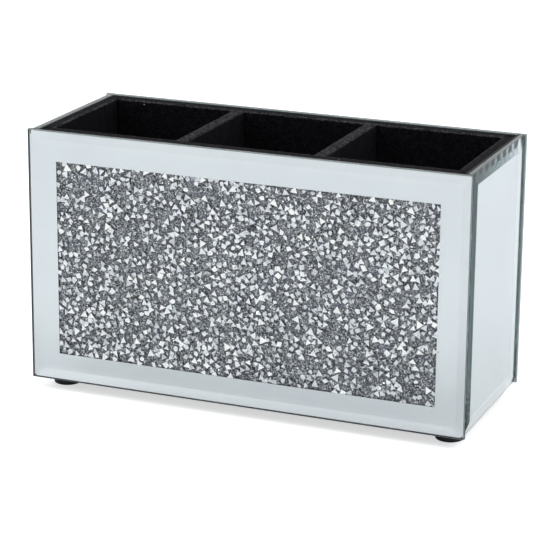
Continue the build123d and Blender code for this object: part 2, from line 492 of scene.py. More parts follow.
@dataclass(frozen=True)
class BackingCloth(Finish):
    """Black non-woven backing: thin bonded fibres that lie every way, pressed flat in a dot grid."""

    label: str = "non_woven_backing"
    tones: Tones = ((0.25, "#141416"), (0.65, "#2C2C2F"))
    fibre_mm: float = 1.6
    dot_mm: float = 2.0
    dot_edge: tuple[float, float] = (0.2, 0.35)
    dot_level: float = -0.2
    nap_depth: float = 0.15 * MM
    nap_strength: float = 0.6
    roughness: float = 0.85

    def lay_nodes(self, tree: NodeTree) -> None:
        """Lays a matt black with loose fibres and pressed dots.

        Args:
            tree: The material's tree.
        """
        place = add_node(tree, "ShaderNodeTexCoord").outputs["Object"]
        fibre = add_node(tree, "ShaderNodeTexNoise", {
            "Vector": place, "Scale": per_mm(self.fibre_mm), "Detail": 5.0, "Distortion": 1.5,
        })
        dots = add_node(tree, "ShaderNodeTexVoronoi", {
            "Vector": place, "Scale": per_mm(self.dot_mm), "Randomness": 0.0,
        }, voronoi_dimensions="2D")
        pressed = add_node(tree, "ShaderNodeMapRange", {
            "Value": dots.outputs["Distance"], "From Min": self.dot_edge[0], "From Max": self.dot_edge[1],
            "To Min": self.dot_level, "To Max": 0.0,
        })
        height = add_node(tree, "ShaderNodeMath", {0: fibre, 1: pressed}, operation="ADD")
        bump = add_node(tree, "ShaderNodeBump", {
            "Height": height, "Strength": self.nap_strength, "Distance": self.nap_depth,
        })
        cloth = add_node(tree, "ShaderNodeBsdfPrincipled", {
            "Base Color": add_node(tree, "ShaderNodeValToRGB", {"Fac": height}, stops=self.tones),
            "Roughness": self.roughness, "Normal": bump,
        })
        add_node(tree, "ShaderNodeOutputMaterial", {"Surface": cloth})


@dataclass(frozen=True)
class StudioPaper(Finish):
    """White studio paper: bright to the eye and in the mirrors, with the object's soft shadow kept."""

    label: str = "studio_paper"
    colour: str = "#F2F4F7"
    glow: float = 0.6
    mirrored_share: float = 0.05
    roughness: float = 0.9
    gleam: float = 0.1

    def lay_nodes(self, tree: NodeTree) -> None:
        """Lays matt paper that is lifted to white for the eye, mirrors and glass only.

        Args:
            tree: The material's tree.
        """
        path = add_node(tree, "ShaderNodeLightPath").outputs
        through = add_node(tree, "ShaderNodeMath", {
            0: path["Is Glossy Ray"], 1: path["Is Transmission Ray"],
        }, operation="MAXIMUM")
        seen = add_node(tree, "ShaderNodeMath", {
            0: through, 1: self.mirrored_share, 2: path["Is Camera Ray"],
        }, operation="MULTIPLY_ADD")
        lift = add_node(tree, "ShaderNodeMath", {0: seen, 1: self.glow}, operation="MULTIPLY")
        paper = add_node(tree, "ShaderNodeBsdfPrincipled", {
            "Base Color": linear(self.colour), "Roughness": self.roughness, "Specular IOR Level": self.gleam,
        })
        light = add_node(tree, "ShaderNodeEmission", {"Strength": lift})
        whole = add_node(tree, "ShaderNodeAddShader", {0: paper, 1: light})
        add_node(tree, "ShaderNodeOutputMaterial", {"Surface": whole})


def new_object(name: str, mesh: Mesh, *finishes: Finish) -> Object:
    """Links a new object for a mesh into the scene.

    Args:
        name: The piece's name.
        mesh: The piece's mesh, already in its place.
        *finishes: The finishes of its material slots.

    Returns:
        The object, at the origin.
    """
    for finish in finishes:
        mesh.materials.append(finish.material())
    piece = bpy.data.objects.new(name, mesh)
    bpy.context.scene.collection.objects.link(piece)
    return piece


def mesh_from(name: str, points: Sequence[Sequence[float]], faces: Sequence[Sequence[int]]) -> Mesh:
    """Makes a mesh from points and faces.

    Args:
        name: The mesh's name.
        points: Corner places in metres.
        faces: Corner numbers of each face, anticlockwise from outside.

    Returns:
        The mesh.
    """
    mesh = bpy.data.meshes.new(name)
    mesh.from_pydata([tuple(p) for p in points], [], [tuple(f) for f in faces])
    mesh.update()
    return mesh


def mesh_of(name: str, made: BMesh) -> Mesh:
    """Turns a mesh that has been built up into a finished one, with its normals outward.

    Args:
        name: The mesh's name.
        made: The mesh being built, which is freed.

    Returns:
        The mesh.
    """
    bmesh.ops.recalc_face_normals(made, faces=made.faces)
    mesh = bpy.data.meshes.new(name)
    made.to_mesh(mesh)
    made.free()
    return mesh


def grid_faces(rows: int, columns: int, holes: Collection[tuple[int, int]] = ()) -> list[tuple[int, ...]]:
    """Lists the faces of a grid of points.

    Args:
        rows: How many rows of points there are.
        columns: How many points are in a row.
        holes: The row and column of each face that is left out.

    Returns:
        The corner numbers of each face.
    """
    return [
        (r * columns + c, r * columns + c + 1, (r + 1) * columns + c + 1, (r + 1) * columns + c)
        for r in range(rows - 1)
        for c in range(columns - 1)
        if (r, c) not in holes
    ]


def thicken(piece: Object, thickness: float) -> None:
    """Gives a piece's surface a thickness, inward from its outer face.

    Args:
        piece: The piece, a single surface.
        thickness: How thick it gets.
    """
    wall = piece.modifiers.new("thickness", "SOLIDIFY")
    wall.thickness = thickness
    wall.offset = -1.0


def quarter_turn(flats: int) -> list[tuple[float, float]]:
    """Returns the cosine and sine at each corner of a quarter turn divided into flats."""
    turns = [math.radians(90 * i / flats) for i in range(flats + 1)]
    return [(math.cos(turn), math.sin(turn)) for turn in turns]


def steps_between(low: float, high: float, step: float) -> list[float]:
    """Divides a run into even steps.

    Args:
        low: The start of the run.
        high: Its end.
        step: About how long a step is.

    Returns:
        The places from low to high, both included.
    """
    count = max(1, round((high - low) / step))
    return [low + (high - low) * i / count for i in range(count + 1)]


def uneven(point: Vector, fine: float, coarse: float, fine_share: float = 0.55) -> float:
    """Returns how far cloth stands off its even surface at a point, from about -1 to 1."""
    return fine_share * noise.noise(point / fine) + (1 - fine_share) * noise.noise(point / coarse)


def register(piece: Object, slot: str, *nodes: str) -> None:
    """Seats a finished piece on the body in place of its CAD nodes.

    Args:
        piece: The finished piece.
        slot: The record's material slot for the piece's finish; not used.
        *nodes: The CAD nodes that it stands for.
    """
    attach(piece, BODY)
    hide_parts(*nodes)
    LOG.info("%s: %d faces, stands for %s", piece.name, len(piece.data.polygons), ", ".join(nodes))


class Side(Enum):
    """The four walls, each with its name, the way along it and the way out of it."""

    FRONT = ("front", (1.0, 0.0, 0.0), (0.0, -1.0, 0.0))
    RIGHT = ("right", (0.0, 1.0, 0.0), (1.0, 0.0, 0.0))
    BACK = ("back", (-1.0, 0.0, 0.0), (0.0, 1.0, 0.0))
    LEFT = ("left", (0.0, -1.0, 0.0), (-1.0, 0.0, 0.0))

    @property
    def label(self) -> str:
        """The wall's name."""
        return self.value[0]

    @property
    def along(self) -> Vector:
        """The way along the wall, to the right as seen from outside."""
        return Vector(self.value[1])

    @property
    def out(self) -> Vector:
        """The way out of the wall."""
        return Vector(self.value[2])


class Held(Enum):
    """How a sheet of cloth is held."""

    FOLDED = "folded"
    LAID = "laid"


@dataclass
class MirrorPanel:
    """One sheet of bevelled glass with silver and paint on its back.

    Attributes:
        side: The wall that the sheet faces.
        sealer: How far the dark edge sealer runs from the back onto the edge, if the sheet is sealed.
        window_lap: How far the crystals reach under the silver round a clear window, if the sheet has one.
        finishes: Glass, silver, polished edge, ground arris, paint, resin, edge sealer and ground end.
        bevel_width: How far the bevel runs in from the edge.
        bevel_depth: How much thinner the sheet is at its edge.
        arris: The narrow flat that takes the sharpness off each edge.
        paint: The thickness of silver and paint together.
        paint_gap: The hairline between the silver and the paint's own surface.
        joint_gap: The hairline of glue at each end of an end sheet.
    """

    side: Side
    sealer: Optional[float] = None
    window_lap: Optional[float] = None
    finishes: tuple[Finish, ...] = (
        FloatGlass(), MIRROR_SILVER, PolishedEdge(), GROUND_ARRIS, BACK_PAINT, BondingResin(), EDGE_SEALER,
        GROUND_END,
    )
    bevel_width: float = 6.0 * MM
    bevel_depth: float = 1.4 * MM
    arris: float = 0.35 * MM
    paint: float = 0.3 * MM
    paint_gap: float = 0.02 * MM
    joint_gap: float = 0.06 * MM

    def __post_init__(self) -> None:
        """Reads the sheet's place from the frame."""
        low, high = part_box(f"{self.side.label}_glass")
        size = high - low
        self.thickness = abs(size.dot(self.side.out))
        self.half_length = abs(size.dot(self.side.along)) / 2
        if self.side in (Side.LEFT, Side.RIGHT):
            self.half_length -= self.joint_gap
        self.half_height = size.z / 2
        self.centre = (low + high) / 2 - self.side.out * (self.thickness / 2)
        self.window: Optional[tuple[float, ...]] = None
        if self.window_lap is not None:
            before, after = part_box("crystal_bed")[0] - low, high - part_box("crystal_bed")[1]
            self.window = tuple(margin + self.window_lap for margin in (before.x, before.z, after.x, after.z))

    def place(self, along: float, up: float, out: float) -> Vector:
        """Returns the point at a distance along, up and out from the middle of the sheet's back."""
        return self.centre + self.side.along * along + Vector((0.0, 0.0, up)) + self.side.out * out

    def ring(self, made: BMesh, inset: Sequence[float], out: float) -> list[BMVert]:
        """Adds the four corners of a rectangle that lies in the sheet.

        Args:
            made: The mesh being built.
            inset: How far the rectangle stays in from the sheet's left, bottom, right and top.
            out: How far it lies in front of the sheet's back.

        Returns:
            The corners, anticlockwise from outside.
        """
        left, bottom = inset[0] - self.half_length, inset[1] - self.half_height
        right, top = self.half_length - inset[2], self.half_height - inset[3]
        corners = ((left, bottom), (right, bottom), (right, top), (left, top))
        return [made.verts.new(self.place(along, up, out)) for along, up in corners]

    def skin(
        self,
        made: BMesh,
        lower: list[BMVert],
        upper: list[BMVert],
        finish: int,
        end_finish: Optional[int] = None,
    ) -> None:
        """Closes the band between two rings with four faces.

        Args:
            made: The mesh being built.
            lower: The ring nearer to the back, or the outer one of two in a plane.
            upper: The other ring.
            finish: The material slot for the faces.
            end_finish: The slot for the upright faces at the sheet's ends, where it differs.
        """
        for i in range(4):
            j = (i + 1) % 4
            face = made.faces.new((lower[i], lower[j], upper[j], upper[i]))
            face.material_index = end_finish if end_finish is not None and i % 2 else finish

    def build(self) -> None:
        """Builds the sheet with its silver and paint."""
        glass, silver, edge, ground, paint, resin, lacquer, ground_end = range(len(self.finishes))
        made = bmesh.new()
        slope = self.bevel_depth / self.bevel_width
        shoulder = self.thickness - self.bevel_depth
        steps = [
            (self.arris, 0.0, lacquer if self.sealer else ground),
            (0.0, self.arris, lacquer if self.sealer else edge),
            (0.0, shoulder - self.arris, ground),
            (self.arris, shoulder + self.arris * slope, glass),
            (self.bevel_width, self.thickness, glass),
        ]
        if self.sealer:
            steps.insert(2, (0.0, self.arris + self.sealer, edge))
        rings = [self.ring(made, (inset,) * 4, out) for inset, out, _ in steps]
        # The end sheets' ends are glued against the painted backs of the long sheets, so they show dark.
        # The back sheet's ends are only ground, and show pale.
        ends = {Side.LEFT: paint, Side.RIGHT: paint, Side.BACK: ground_end}.get(self.side)
        for (_, _, finish), lower, upper in zip(steps, rings, rings[1:]):
            self.skin(made, lower, upper, finish, ends if finish == edge else None)
        made.faces.new(rings[-1]).material_index = glass
        if self.window:
            inner = self.ring(made, self.window, 0.0)
            self.skin(made, inner, rings[0], silver)
            made.faces.new(reversed(inner)).material_index = resin
        else:
            made.faces.new(reversed(rings[0])).material_index = silver
        self.add_paint(made, paint)
        name = f"{self.side.label}_mirror"
        piece = new_object(name, mesh_of(name, made), *self.finishes)
        register(piece, "glass", f"{self.side.label}_glass", f"{self.side.label}_silver")

    def add_paint(self, made: BMesh, finish: int) -> None:
        """Adds the coat of paint behind the silver.

        Args:
            made: The mesh being built.
            finish: The material slot for the paint.
        """
        low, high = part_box(f"{self.side.label}_silver")
        reach = abs((high - low).dot(self.side.along)) / 2
        outer = (self.half_length - reach + self.arris, self.arris) * 2
        front = self.ring(made, outer, -self.paint_gap)
        back = self.ring(made, outer, -self.paint)
        self.skin(made, back, front, finish)
        if self.window:
            front_in = self.ring(made, self.window, -self.paint_gap)
            back_in = self.ring(made, self.window, -self.paint)
            for lower, upper in ((front, front_in), (front_in, back_in), (back_in, back)):
                self.skin(made, lower, upper, finish)
        else:
            for corners in (front, reversed(back)):
                made.faces.new(corners).material_index = finish


@dataclass(frozen=True)
class ChipLayer:
    """One size and tone of crushed crystal in the bed. Each field is also an input of the layer's tree.

    Attributes:
        spacing: The least distance between two chips.
        cover: The share of the places that hold a chip.
        bare: That share in the layer's thinnest patches.
        radius: A chip's middling radius.
        level: How high the chips' middles lie over the glass's back, so negative behind it.
        tilt: The most a chip leans, in radians.
        spin: The most it is turned from standing on its foot, corner up, in radians.
        jitter: How far a chip's corners stray.
        face_low: The darkest tone of a chip's flat face, from 0 to 1.
        face_high: The lightest tone of it.
        flank_low: The darkest tone of its broken flanks.
        flank_high: The lightest tone of them; on the silvered chips it is kept near black, as painted shade
            round the bright face.
        silvered: Whether the chips show their silvered faces.
        seed: The fixed seed of the layer.
    """

    spacing: float
    cover: float
    bare: float
    radius: float
    level: float
    tilt: float
    spin: float
    jitter: float
    face_low: float
    face_high: float
    flank_low: float
    flank_high: float
    silvered: bool
    seed: int


def new_geometry_tree(name: str, inputs: dict[str, str]) -> tuple[NodeTree, NodeOutputs]:
    """Makes a geometry tree that gives one geometry.

    Args:
        name: The tree's name.
        inputs: The name of each input and its kind of socket.

    Returns:
        The tree, and its inputs as outputs to link from.
    """
    tree = bpy.data.node_groups.new(name, "GeometryNodeTree")
    for label, kind in inputs.items():
        tree.interface.new_socket(label, in_out="INPUT", socket_type=f"NodeSocket{kind}")
    tree.interface.new_socket("Geometry", in_out="OUTPUT", socket_type="NodeSocketGeometry")
    return tree, add_node(tree, "NodeGroupInput").outputs


@dataclass
class CrystalInlay:
    """The bed of crushed crystal behind the window.

    Attributes:
        lap: How far the bed reaches under the silver all round.
        backing: The thickness of the dark glue bed under the chips.
        backing_tone: How light the glue is, from 0 to 1.
        edge_share: How far the outer chips' middles keep in from the silver, as a share of their radius.
        shapes: The corners of each shape of chip, and its size as a share of its layer's.
        top_share: The width of a chip's flat face as a share of its foot's.
        depth_share: A chip's height as a share of its layer's radius.
        least_stretch: The least that a chip is stretched each way.
        most_stretch: The most that it is stretched.
        tries: How many chips are tried for in a square as wide as the spacing.
        heap_mm: How far apart the thick and thin patches of a layer lie, in millimetres.
        heap_levels: The levels of that pattern between which a layer goes from thin to thick.
        face_mark: The name of the mark on the chips' flat faces.
        silvered_mark: The name of the mark on faces that show silver.
        layers: The layers of chips, from the deepest.
    """

    crystal: CrystalFinish = CrushedCrystal()
    facet: CrystalFinish = SilveredFacet()
    lap: float = WINDOW_LAP
    backing: float = 0.7 * MM
    backing_tone: float = 0.12
    edge_share: float = 0.1
    shapes: tuple[tuple[int, float], ...] = ((3, 1.0), (3, 1.12), (3, 0.9), (4, 0.85), (5, 0.72))
    top_share: float = 0.74
    depth_share: float = 0.5
    least_stretch: Point = (0.78, 0.78, 0.8)
    most_stretch: Point = (1.2, 1.2, 1.2)
    tries: float = 4.0
    heap_mm: float = 8.0
    heap_levels: tuple[float, float] = (0.36, 0.56)
    face_mark: str = "flat_face"
    silvered_mark: str = "silvered"
    layers: tuple[ChipLayer, ...] = (
        ChipLayer(
            spacing=1.0 * MM, cover=1.0, bare=1.0, radius=0.85 * MM, level=-1.85 * MM, tilt=math.radians(36),
            spin=math.pi, jitter=0.2 * MM, face_low=0.1, face_high=1.0, flank_low=0.0, flank_high=0.9,
            silvered=False, seed=3,
        ),
        ChipLayer(
            spacing=2.3 * MM, cover=0.5, bare=0.5, radius=1.9 * MM, level=-1.7 * MM, tilt=math.radians(12),
            spin=math.pi, jitter=0.3 * MM, face_low=0.25, face_high=0.75, flank_low=0.0, flank_high=0.2,
            silvered=False, seed=5,
        ),
        # The silvered chips' flanks are near black: painted shade round each bright face.
        ChipLayer(
            spacing=2.4 * MM, cover=1.0, bare=0.25, radius=2.35 * MM, level=-1.55 * MM, tilt=math.radians(10),
            spin=math.radians(38), jitter=0.38 * MM, face_low=0.0, face_high=1.0, flank_low=0.0,
            flank_high=0.06, silvered=True, seed=8,
        ),
    )

    def layer_tree(self) -> NodeTree:
        """Builds the tree that scatters one layer of chips over a flat bed.

        Returns:
            The tree, with the bed's size and the layer's fields as its inputs.
        """
        kinds = {float: "Float", bool: "Bool", int: "Int"}
        tree, size = new_geometry_tree("crystal_layer", {"length": "Float", "height": "Float"} | {
            item.name: kinds[item.type] for item in fields(ChipLayer)
        })
        bed = add_node(tree, "GeometryNodeMeshGrid", {
            "Size X": size["length"], "Size Y": size["height"], "Vertices X": 2, "Vertices Y": 2,
        })
        square = add_node(tree, "ShaderNodeMath", {
            0: size["spacing"], 1: size["spacing"],
        }, operation="MULTIPLY")
        density = add_node(tree, "ShaderNodeMath", {0: self.tries, 1: square}, operation="DIVIDE")
        heap = add_node(tree, "ShaderNodeTexNoise", {"Scale": per_mm(self.heap_mm), "Detail": 1.0})
        share = add_node(tree, "ShaderNodeMapRange", {
            "Value": heap, "From Min": self.heap_levels[0], "From Max": self.heap_levels[1],
            "To Min": size["bare"], "To Max": size["cover"],
        })
        points = add_node(tree, "GeometryNodeDistributePointsOnFaces", {
            "Mesh": bed, "Distance Min": size["spacing"], "Density Max": density, "Density Factor": share,
            "Seed": size["seed"],
        }, distribute_method="POISSON")
        draw = add_node(tree, "FunctionNodeRandomValue", {
            0: (-1.0, -1.0, -1.0), 1: (1.0, 1.0, 1.0), "Seed": size["seed"],
        }, data_type="FLOAT_VECTOR")
        swing = add_node(tree, "ShaderNodeCombineXYZ", {0: size["tilt"], 1: size["tilt"], 2: size["spin"]})
        corner_up = (0.0, 0.0, math.pi / 2)
        turn = add_node(tree, "ShaderNodeVectorMath", {
            0: draw, 1: swing, 2: corner_up,
        }, operation="MULTIPLY_ADD")
        stretch = add_node(tree, "FunctionNodeRandomValue", {
            0: self.least_stretch, 1: self.most_stretch, "Seed": size["seed"],
        }, data_type="FLOAT_VECTOR")
        scale = add_node(tree, "ShaderNodeVectorMath", {
            0: stretch, "Scale": size["radius"],
        }, operation="SCALE")
        pick = add_node(tree, "FunctionNodeRandomValue", {
            4: 0, 5: len(self.shapes) - 1, "Seed": size["seed"],
        }, data_type="INT")
        chips = add_node(tree, "GeometryNodeGeometryToInstance", {
            0: [self.chip(tree, corners, share) for corners, share in self.shapes],
        })
        laid = add_node(tree, "GeometryNodeInstanceOnPoints", {
            "Points": points, "Instance": chips, "Pick Instance": True, "Instance Index": pick.outputs[2],
            "Rotation": turn, "Scale": scale,
        })
        real = add_node(tree, "GeometryNodeRealizeInstances", {0: laid})
        is_face = add_node(tree, "GeometryNodeInputNamedAttribute", {
            "Name": self.face_mark,
        }, data_type="BOOLEAN")
        face, flank = (
            add_node(tree, "FunctionNodeRandomValue", {
                2: size[f"{part}_low"], 3: size[f"{part}_high"], "Seed": size["seed"],
            }, data_type="FLOAT").outputs[1]
            for part in ("face", "flank")
        )
        tone = add_node(tree, "GeometryNodeSwitch", {
            "Switch": is_face, "False": flank, "True": face,
        }, input_type="FLOAT")
        toned = add_node(tree, "GeometryNodeStoreNamedAttribute", {
            "Geometry": real, "Name": self.crystal.tone_attribute, "Value": tone,
        }, data_type="FLOAT", domain="FACE")
        shows = add_node(tree, "FunctionNodeBooleanMath", {0: is_face, 1: size["silvered"]}, operation="AND")
        marked = add_node(tree, "GeometryNodeStoreNamedAttribute", {
            "Geometry": toned, "Name": self.silvered_mark, "Value": shows,
        }, data_type="BOOLEAN", domain="FACE")
        reach = add_node(tree, "ShaderNodeCombineXYZ", {0: size["jitter"], 1: size["jitter"]})
        level = add_node(tree, "ShaderNodeCombineXYZ", {2: size["level"]})
        stray = add_node(tree, "ShaderNodeVectorMath", {
            0: draw, 1: reach, 2: level,
        }, operation="MULTIPLY_ADD")
        broken = add_node(tree, "GeometryNodeSetPosition", {"Geometry": marked, "Offset": stray})
        add_node(tree, "NodeGroupOutput", {0: broken})
        return tree

    def chip(self, tree: NodeTree, corners: int, share: float) -> Node:
        """Adds one chip of unit radius, a low stub with a flat face and sloping flanks.

        Args:
            tree: The tree that gets the nodes.
            corners: How many corners the flat face has.
            share: The chip's size as a share of the layer's.

        Returns:
            The node with the chip's mesh, whose flat face is marked.
        """
        stub = add_node(tree, "GeometryNodeMeshCone", {
            "Vertices": corners, "Radius Top": share * self.top_share, "Radius Bottom": share,
            "Depth": self.depth_share,
        })
        return add_node(tree, "GeometryNodeStoreNamedAttribute", {
            "Geometry": stub.outputs["Mesh"], "Name": self.face_mark, "Value": stub.outputs["Top"],
        }, data_type="BOOLEAN", domain="FACE")

    def bed_tree(self, length: float, height: float, depth: float) -> NodeTree:
        """Builds the tree that lays the backing and every layer, and stands them up behind the window.

        Args:
            length: The bed's length.
            height: The bed's height.
            depth: The bed's depth behind the glass.

        Returns:
            The tree, with the bed's place and materials as its inputs.
        """
        tree, given = new_geometry_tree("crystal_bed", {
            "Place": "Vector", "Crystal": "Material", "Facet": "Material",
        })
        plate = add_node(tree, "GeometryNodeMeshCube", {"Size": (length, height, self.backing)})
        sunk = add_node(tree, "GeometryNodeTransform", {
            "Geometry": plate, "Translation": (0.0, 0.0, self.backing / 2 - depth),
        })
        parts = [add_node(tree, "GeometryNodeStoreNamedAttribute", {
            "Geometry": sunk, "Name": self.crystal.tone_attribute, "Value": self.backing_tone,
        }, data_type="FLOAT", domain="FACE")]
        layer_tree = self.layer_tree()
        for layer in self.layers:
            margin = 2 * (self.lap + self.edge_share * layer.radius)
            laid = add_node(tree, "GeometryNodeGroup", node_tree=layer_tree)
            sizes = {"length": length - margin, "height": height - margin, **asdict(layer)}
            for name, value in sizes.items():
                laid.inputs[name].default_value = value
            parts.append(laid)
        joined = add_node(tree, "GeometryNodeJoinGeometry", {0: parts})
        upright = add_node(tree, "GeometryNodeTransform", {
            "Geometry": joined, "Translation": given["Place"], "Rotation": (math.pi / 2, 0.0, 0.0),
        })
        real = add_node(tree, "GeometryNodeRealizeInstances", {0: upright})
        smoky = add_node(tree, "GeometryNodeSetMaterial", {"Geometry": real, "Material": given["Crystal"]})
        shows = add_node(tree, "GeometryNodeInputNamedAttribute", {
            "Name": self.silvered_mark,
        }, data_type="BOOLEAN")
        silvered = add_node(tree, "GeometryNodeSetMaterial", {
            "Geometry": smoky, "Selection": shows, "Material": given["Facet"],
        })
        add_node(tree, "NodeGroupOutput", {0: silvered})
        return tree

    def build(self) -> None:
        """Grows the bed and turns it into a plain mesh."""
        low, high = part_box("crystal_bed")
        glass_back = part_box("front_glass")[1].y
        tree = self.bed_tree(high.x - low.x, high.z - low.z, high.y - glass_back)
        grower = new_object("crystal_grower", bpy.data.meshes.new("crystal_grower"))
        modifier = grower.modifiers.new("bed", "NODES")
        modifier.node_group = tree
        sockets = {item.name: item.identifier for item in tree.interface.items_tree if item.in_out == "INPUT"}
        modifier[sockets["Place"]] = ((low.x + high.x) / 2, glass_back, (low.z + high.z) / 2)
        modifier[sockets["Crystal"]] = self.crystal.material()
        modifier[sockets["Facet"]] = self.facet.material()
        bpy.context.view_layer.update()
        evaluated = grower.evaluated_get(bpy.context.evaluated_depsgraph_get())
        mesh = bpy.data.meshes.new_from_object(evaluated)
        mesh.name = "crystal_inlay"
        bpy.data.objects.remove(grower)
        piece = new_object("crystal_inlay", mesh)
        register(piece, "crystal", "crystal_bed")


@dataclass
class FeltLining:
    """The black felt over the walls, dividers and floors.

    Attributes:
        thickness: The felt's thickness.
        rim_round: The radius at which the felt turns over an inner edge.
        lip_round: The radius at which it turns down beside the glass.
        step: The distance between the felt's mesh points along a wall.
        rim_step: That distance across a rim.
        wall_step: That distance down a wall.
        floor_step: That distance on a floor.
        stand: How far tufts stand off the even surface.
        tuft_sizes: How far apart fine and coarse tufts stand.
        seam_dip: How far the felt sinks at a cut edge on the rim.
        seam_width: How wide that dip is.
        seam_fade: How far below the rim it ends.
        rim_dust_and_sheen: How much the flat of the rim is lightened, from 0 to 1: dust in the nap, and
            painted sheen on its top.
        divider_dust_and_sheen: How much the dividers' tops are lightened: dust in the nap, and painted sheen
            on the tops.
        floor_painted_light: How much the floors are lightened, as painted light in their shade.
        floor_fade: How far up the walls that painted light fades out.
        fold_dust_and_sheen: How much the felt is lightened at most where it turns into a compartment: dust,
            and a painted highlight.
        brightest_place: How far out from the compartment the felt is lightest.
        brightest_fade: How far that lightening fades out to each side.
        overlap: How far a divider's felt reaches into the walls' felt.
    """

    felt: NeedleFelt = NeedleFelt()
    thickness: float = 0.85 * MM
    rim_round: float = 1.2 * MM
    lip_round: float = 0.6 * MM
    step: float = 1.25 * MM
    rim_step: float = 0.9 * MM
    wall_step: float = 4.0 * MM
    floor_step: float = 2.5 * MM
    stand: float = 0.07 * MM
    tuft_sizes: tuple[float, float] = (1.6 * MM, 5.0 * MM)
    seam_dip: float = 0.3 * MM
    seam_width: float = 0.8 * MM
    seam_fade: float = 2.0 * MM
    rim_dust_and_sheen: float = 0.05
    divider_dust_and_sheen: float = 0.3
    floor_painted_light: float = 0.35
    floor_fade: float = 90.0 * MM
    fold_dust_and_sheen: float = 0.55
    brightest_place: float = 0.6 * MM
    brightest_fade: float = 1.6 * MM
    overlap: float = 0.9 * MM

    def wall_profile(self, rim_width: float, floor: float, top: float) -> list[tuple[float, float]]:
        """Draws the felt's outer line from the glass, over the rim and down the wall.

        Args:
            rim_width: The rim's width from the glass to the compartment.
            floor: The level where the felt ends.
            top: The level of the rim.

        Returns:
            Distance in from the glass and height, for each point.
        """
        lip, rim = self.lip_round, self.rim_round
        flat_end = rim_width - rim
        line = [(lip * (1 - cos), top - lip * (1 - sin)) for cos, sin in quarter_turn(FINE_FLATS)]
        line += [(inset, top) for inset in steps_between(lip, flat_end, self.rim_step)[1:-1]]
        line += [(flat_end + rim * sin, top - rim * (1 - cos)) for cos, sin in quarter_turn(ROUND_FLATS)]
        line += [(rim_width, z) for z in reversed(steps_between(floor, top - rim, self.wall_step)[:-1])]
        return line

    def grid_piece(
        self,
        node: str,
        rows: Sequence[Sequence[Vector]],
        rubbed: Sequence[float],
        held: Held,
        holes: Collection[tuple[int, int]] = (),
    ) -> None:
        """Makes a felt piece from rows of points on its outer face.

        Args:
            node: The CAD node that it stands for.
            rows: Rows of points, each as long as the next.
            rubbed: How much the felt is lightened along each row, from 0 to 1, by dust and by painted light.
            held: How the cloth is held; not used.
            holes: The row and column of each face that is cut out.
        """
        name, wide = node.replace("_felt", "_lining"), len(rows[0])
        mesh = mesh_from(name, [p for row in rows for p in row], grid_faces(len(rows), wide, holes))
        mark = mesh.attributes.new(self.felt.dust_and_light_attribute, "FLOAT", "POINT")
        mark.data.foreach_set("value", [share for share in rubbed for _ in range(wide)])
        smooth = [vertex.normal.copy() for vertex in mesh.vertices]
        for vertex, normal in zip(mesh.vertices, smooth):
            vertex.co += normal * (self.stand * uneven(vertex.co, *self.tuft_sizes))
        mesh.shade_smooth()
        piece = new_object(name, mesh, self.felt)
        loose = bmesh.new()
        loose.from_mesh(mesh)
        bmesh.ops.delete(loose, geom=[v for v in loose.verts if not v.link_faces], context="VERTS")
        loose.to_mesh(mesh)
        loose.free()
        thicken(piece, self.thickness)
        register(piece, "felt", node)

    def build_wall(self, side: Side) -> None:
        """Builds the felt that covers one wall and wraps over its rim.

        Args:
            side: The wall.
        """
        node = f"{side.label}_felt"
        low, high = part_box(node)
        rim_width = abs((high - low).dot(side.out))
        outside = max(abs(low.dot(side.out)), abs(high.dot(side.out)))
        reach = abs((high - low).dot(side.along)) / 2
        inner = self.inner_reach(side)
        profile = self.wall_profile(rim_width, low.z, high.z)
        cuts = self.divider_cuts(side)
        columns = self.columns(inner, cuts)
        rows = []
        for inset, up in profile:
            limit = inner + min(reach - inner, rim_width - inset)
            on_rim = max(0.0, 1 - (high.z - up) / self.seam_fade)
            row = []
            for place in columns:
                along = place * limit / inner
                from_end = limit - abs(along)
                dip = self.seam_dip * on_rim * math.exp(-((from_end / self.seam_width) ** 2))
                point = side.along * along + side.out * (outside - inset)
                row.append(Vector((point.x, point.y, up - dip)))
            rows.append(row)
        board_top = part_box("left_divider")[1].z
        holes = {
            (row, column)
            for row, (inset, up) in enumerate(profile)
            for column, pair in enumerate(zip(columns, columns[1:]))
            if up <= board_top and inset >= rim_width - HAIR
            and any(start < sum(pair) / 2 < end for start, end in cuts)
        }
        rubbed = [self.rub(inset, up, rim_width, high.z) for inset, up in profile]
        self.grid_piece(node, rows, rubbed, Held.FOLDED, holes)

    def rub(self, inset: float, up: float, rim_width: float, top: float) -> float:
        """Tells how much a wall's felt is lightened at a point of its outer line, by dust and by painted
        light.

        Args:
            inset: The point's distance in from the glass.
            up: Its height.
            rim_width: The rim's width.
            top: The level of the rim.

        Returns:
            A share from 0 to 1, highest where the felt turns into a compartment, and rising to the floor.
        """
        # Down the wall: painted light that lifts the floor's shade, fading out upwards.
        if top - up > self.rim_round / 2:
            return self.floor_painted_light * max(0.0, 1 - (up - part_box("base_board")[1].z) / self.floor_fade)
        # On the rim: dust in the nap and painted sheen, peaking in a painted highlight on the fold.
        return max(self.rim_dust_and_sheen, self.fold_dust_and_sheen - abs(rim_width - inset - self.brightest_place) / self.brightest_fade)

    def inner_reach(self, side: Side) -> float:
        """Returns half the length of a wall's felt inside the compartments."""
        long_wall = side in (Side.FRONT, Side.BACK)
        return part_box("right_felt")[0].x if long_wall else -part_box("front_felt")[1].y

    def divider_cuts(self, side: Side) -> list[tuple[float, ...]]:
        """Finds where the dividers' boards pass a wall's felt.

        Args:
            side: The wall.

        Returns:
            The start and end of each cut along the wall, from its middle.
        """
        if side in (Side.LEFT, Side.RIGHT):
            return []
        boards = [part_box(name) for name in ("left_divider", "right_divider")]
        return sorted(tuple(sorted(side.along.x * corner.x for corner in board)) for board in boards)

